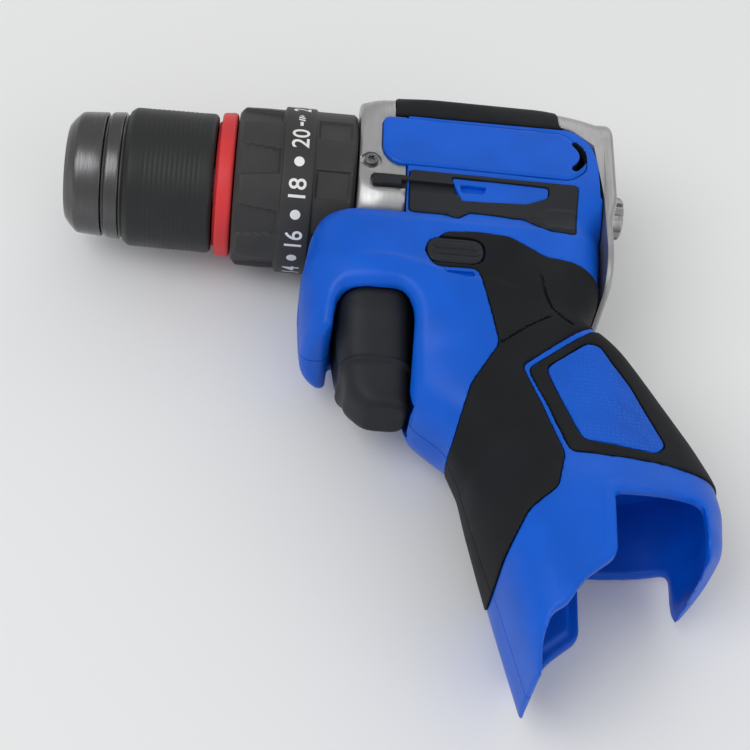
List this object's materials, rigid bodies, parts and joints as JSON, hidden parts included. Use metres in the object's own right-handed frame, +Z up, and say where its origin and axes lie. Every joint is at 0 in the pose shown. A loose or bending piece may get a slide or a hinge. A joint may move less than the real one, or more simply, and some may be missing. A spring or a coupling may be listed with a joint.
{
  "type": "cordless drill",
  "caption": "Pistol-grip cordless drill without its battery, with keyless chuck, torque collar, trigger, two-stage planetary gears and an open stick-battery socket.",
  "frame": {"origin": "centre of the bounding box, on the floor that the drill's right flank lies on", "axes": "-X along the chuck axis towards the chuck tip, +Y towards the top of the tool, +Z up, out of the tool's left flank"},
  "size_m": [0.2, 0.2014, 0.056],
  "materials": {
    "blue_plastic": "satin moulded, vivid blue",
    "black_plastic": "fine moulded texture, black",
    "grip_rubber": "soft overmoulded rubber, black",
    "silver_plastic": "silver-grey satin",
    "red_plastic": "satin red",
    "bright_steel": "machined",
    "dark_steel": "black-chromed steel",
    "rotor_steel": "laminations and lacquered winding",
    "contact_brass": "bright",
    "magnet": "sintered ferrite, dark grey",
    "clear_lens": "clear moulded lens"
  },
  "bodies": {
    "housing": {"housing_left": "blue_plastic", "housing_right": "blue_plastic", "gear_case": "silver_plastic", "gear_case_screw_left": "bright_steel", "gear_case_screw_right": "bright_steel", "upper_panel_left": "blue_plastic", "upper_panel_right": "blue_plastic", "vent_panel_left": "black_plastic", "vent_panel_right": "black_plastic", "grip_front_left": "grip_rubber", "grip_front_right": "grip_rubber", "grip_back_left": "grip_rubber", "grip_back_right": "grip_rubber", "grip_inlay_left": "blue_plastic", "grip_inlay_right": "blue_plastic", "top_cover": "grip_rubber", "rear_cap": "silver_plastic", "case_screw_1": "dark_steel", "case_screw_2": "dark_steel", "case_screw_3": "dark_steel", "case_screw_4": "dark_steel", "case_screw_5": "dark_steel", "trigger_switch": "black_plastic", "work_light_lens": "clear_lens", "ring_gear": "bright_steel", "spindle_bearing": "bright_steel", "clutch_spring": "bright_steel", "spring_nut": "black_plastic", "clutch_plate": "bright_steel", "motor_can": "bright_steel", "magnet_left": "magnet", "magnet_right": "magnet", "motor_end_plate": "black_plastic", "terminal_block": "black_plastic", "battery_contact_1": "contact_brass", "battery_contact_2": "contact_brass", "motor_lead_plus": "red_plastic", "motor_lead_minus": "black_plastic"},
    "spindle": {"spindle": "bright_steel", "output_carrier": "bright_steel", "chuck_body": "dark_steel", "chuck_ring": "red_plastic"},
    "chuck_sleeve": {"chuck_sleeve": "black_plastic", "chuck_nose": "dark_steel"},
    "jaw_1": {"chuck_jaw_1": "dark_steel"},
    "jaw_2": {"chuck_jaw_2": "dark_steel"},
    "jaw_3": {"chuck_jaw_3": "dark_steel"},
    "torque_collar": {"torque_collar": "black_plastic"},
    "first_carrier": {"first_carrier": "bright_steel"},
    "rotor": {"rotor": "rotor_steel", "fan": "black_plastic"},
    "output_planet_1": {"output_planet_1": "bright_steel"},
    "output_planet_2": {"output_planet_2": "bright_steel"},
    "output_planet_3": {"output_planet_3": "bright_steel"},
    "first_planet_1": {"first_planet_1": "bright_steel"},
    "first_planet_2": {"first_planet_2": "bright_steel"},
    "first_planet_3": {"first_planet_3": "bright_steel"},
    "trigger": {"trigger": "black_plastic"},
    "direction_lever": {"direction_lever": "black_plastic"},
    "speed_selector": {"speed_selector": "black_plastic"}
  },
  "joints": [
    {"name": "spindle_spin", "type": "hinge", "parent": "housing", "child": "spindle", "pos_m": [0, 0.0693, 0.028], "axis": [1, 0, 0], "continuous": true},
    {"name": "first_carrier_spin", "type": "hinge", "parent": "housing", "child": "first_carrier", "pos_m": [0, 0.0693, 0.028], "axis": [1, 0, 0], "continuous": true},
    {"name": "rotor_spin", "type": "hinge", "parent": "housing", "child": "rotor", "pos_m": [0, 0.0693, 0.028], "axis": [1, 0, 0], "continuous": true},
    {"name": "output_planet_1_spin", "type": "hinge", "parent": "spindle", "child": "output_planet_1", "pos_m": [0, 0.0801, 0.028], "axis": [1, 0, 0], "continuous": true},
    {"name": "output_planet_2_spin", "type": "hinge", "parent": "spindle", "child": "output_planet_2", "pos_m": [0, 0.0639, 0.03735], "axis": [1, 0, 0], "continuous": true},
    {"name": "output_planet_3_spin", "type": "hinge", "parent": "spindle", "child": "output_planet_3", "pos_m": [0, 0.0639, 0.01865], "axis": [1, 0, 0], "continuous": true},
    {"name": "first_planet_1_spin", "type": "hinge", "parent": "first_carrier", "child": "first_planet_1", "pos_m": [0, 0.0801, 0.028], "axis": [1, 0, 0], "continuous": true},
    {"name": "first_planet_2_spin", "type": "hinge", "parent": "first_carrier", "child": "first_planet_2", "pos_m": [0, 0.0639, 0.03735], "axis": [1, 0, 0], "continuous": true},
    {"name": "first_planet_3_spin", "type": "hinge", "parent": "first_carrier", "child": "first_planet_3", "pos_m": [0, 0.0639, 0.01865], "axis": [1, 0, 0], "continuous": true},
    {"name": "chuck_sleeve_turn", "type": "hinge", "parent": "spindle", "child": "chuck_sleeve", "pos_m": [0, 0.0693, 0.028], "axis": [1, 0, 0], "range_deg": [0, 2639]},
    {"name": "jaw_1_slide", "type": "slide", "parent": "spindle", "child": "jaw_1", "axis": [0.9511, 0.309, 0], "range_m": [0, 0.011]},
    {"name": "jaw_2_slide", "type": "slide", "parent": "spindle", "child": "jaw_2", "axis": [0.9511, -0.1545, 0.2676], "range_m": [0, 0.011]},
    {"name": "jaw_3_slide", "type": "slide", "parent": "spindle", "child": "jaw_3", "axis": [0.9511, -0.1545, -0.2676], "range_m": [0, 0.011]},
    {"name": "torque_collar_turn", "type": "hinge", "parent": "housing", "child": "torque_collar", "pos_m": [0, 0.0693, 0.028], "axis": [1, 0, 0], "range_deg": [-51.4, 291.4]},
    {"name": "trigger_pull", "type": "slide", "parent": "housing", "child": "trigger", "axis": [1, 0, 0], "range_m": [0, 0.006], "stiffness_N_per_m": 500, "springref_m": -0.004},
    {"name": "direction_lever_slide", "type": "slide", "parent": "housing", "child": "direction_lever", "axis": [0, 0, 1], "range_m": [-0.003, 0.003]},
    {"name": "speed_selector_slide", "type": "slide", "parent": "housing", "child": "speed_selector", "axis": [1, 0, 0], "range_m": [0, 0.007]}
  ],
  "couplings": [
    {"joint": "first_carrier_spin", "follows": "spindle_spin", "ratio": 4.5},
    {"joint": "rotor_spin", "follows": "spindle_spin", "ratio": 20.25},
    {"joint": "output_planet_1_spin", "follows": "spindle_spin", "ratio": -2.8},
    {"joint": "output_planet_2_spin", "follows": "spindle_spin", "ratio": -2.8},
    {"joint": "output_planet_3_spin", "follows": "spindle_spin", "ratio": -2.8},
    {"joint": "first_planet_1_spin", "follows": "spindle_spin", "ratio": -12.6},
    {"joint": "first_planet_2_spin", "follows": "spindle_spin", "ratio": -12.6},
    {"joint": "first_planet_3_spin", "follows": "spindle_spin", "ratio": -12.6},
    {"joint": "jaw_1_slide", "follows": "chuck_sleeve_turn", "m_per_rad": 0.00023873},
    {"joint": "jaw_2_slide", "follows": "chuck_sleeve_turn", "m_per_rad": 0.00023873},
    {"joint": "jaw_3_slide", "follows": "chuck_sleeve_turn", "m_per_rad": 0.00023873}
  ]
}
